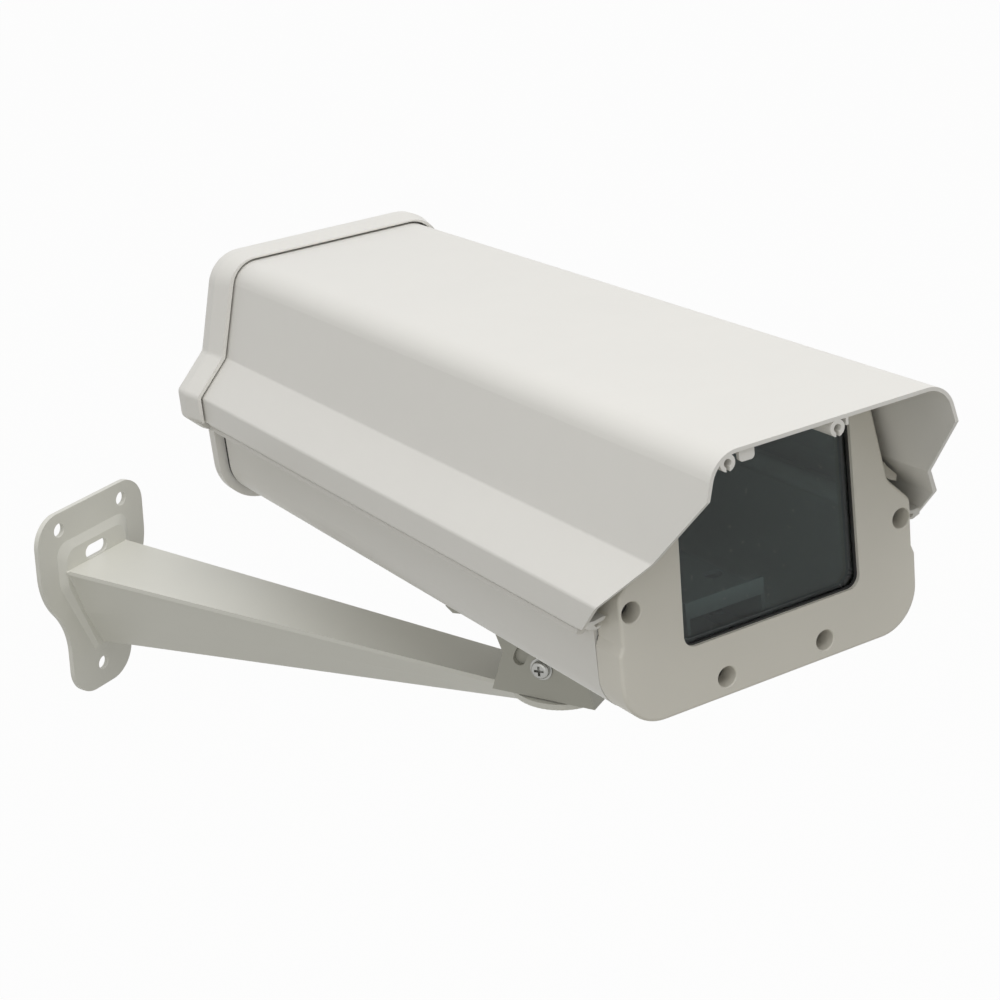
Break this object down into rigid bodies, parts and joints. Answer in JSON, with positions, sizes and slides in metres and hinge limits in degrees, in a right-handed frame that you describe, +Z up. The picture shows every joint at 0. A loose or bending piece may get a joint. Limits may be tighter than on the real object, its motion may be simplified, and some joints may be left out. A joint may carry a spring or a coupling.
{
  "type": "security camera housing",
  "caption": "Weatherproof housing for a surveillance camera, with an overhanging hinged cover, a flat window and rounded end caps, on a swivel head and a wall arm",
  "frame": {"origin": "midway between the two upper screw holes, on the back face of the wall plate", "axes": "+Z up the wall, +Y into the wall, the arm reaches out along -Y"},
  "size_m": [0.2938, 0.4426, 0.2522],
  "materials": {
    "paint_light": "light grey, fine satin powder coat",
    "paint_bracket": "light warm grey, satin coat",
    "frame_coat": "mid warm grey, satin coat on a casting",
    "zinc_steel": "zinc plated, satin",
    "dark_steel": "blackened, satin",
    "rubber_black": "matt black",
    "window": "clear, faintly dark",
    "aluminium_plain": "mill finish",
    "grey_plastic": "moulded, matt"
  },
  "bodies": {
    "bracket": {"wall_plate": "paint_bracket", "bracket_arm": "paint_bracket"},
    "swivel": {"pan_bolt": "zinc_steel", "pan_nut": "zinc_steel", "pan_washer": "zinc_steel", "pan_friction_disc": "rubber_black", "lower_yoke": "paint_bracket"},
    "cradle": {"upper_yoke": "paint_bracket", "tilt_screws": "zinc_steel", "tilt_washers": "zinc_steel", "tilt_nuts": "zinc_steel", "lock_screws": "zinc_steel", "lock_washers": "zinc_steel", "lock_nuts": "zinc_steel"},
    "housing": {"mount_screw": "zinc_steel", "mount_washer": "zinc_steel", "mounting_rail": "aluminium_plain", "rail_screws": "zinc_steel", "lower_tray": "paint_light", "front_frame": "frame_coat", "frame_gasket": "rubber_black", "frame_screws": "dark_steel", "front_seal": "rubber_black", "window_glass": "window", "window_seal": "rubber_black", "window_clamp": "aluminium_plain", "camera_sled": "aluminium_plain", "sled_screws": "zinc_steel", "camera_screw": "zinc_steel", "cable_glands": "grey_plastic", "gland_nuts": "grey_plastic", "rear_cap_lower": "paint_light", "rear_gasket_lower": "rubber_black", "rear_screws_lower": "zinc_steel", "cover_seal": "rubber_black", "closing_screws": "zinc_steel", "closing_clips": "zinc_steel"},
    "cover": {"top_cover": "paint_light", "cover_stop": "paint_light", "rear_cap_upper": "paint_light", "rear_gasket_upper": "rubber_black", "rear_screws_upper": "zinc_steel"}
  },
  "joints": [
    {"name": "pan", "type": "hinge", "parent": "bracket", "child": "swivel", "pos_m": [0, -0.261, -0.021], "axis": [0, 0, 1], "range_deg": [-86, 74]},
    {"name": "tilt", "type": "hinge", "parent": "swivel", "child": "cradle", "pos_m": [0, -0.261, -0.006], "axis": [0.9945, 0.1045, 0], "range_deg": [-8, 35]},
    {"name": "turn", "type": "hinge", "parent": "cradle", "child": "housing", "pos_m": [0, -0.261, -0.006], "axis": [-0.0104, 0.0988, 0.9951], "range_deg": [-11.8, 78.2]},
    {"name": "cover_hinge", "type": "hinge", "parent": "housing", "child": "cover", "pos_m": [-0.0607, -0.21464, 0.06826], "axis": [-0.4575, -0.8853, 0.0831], "range_deg": [0, 75]}
  ]
}
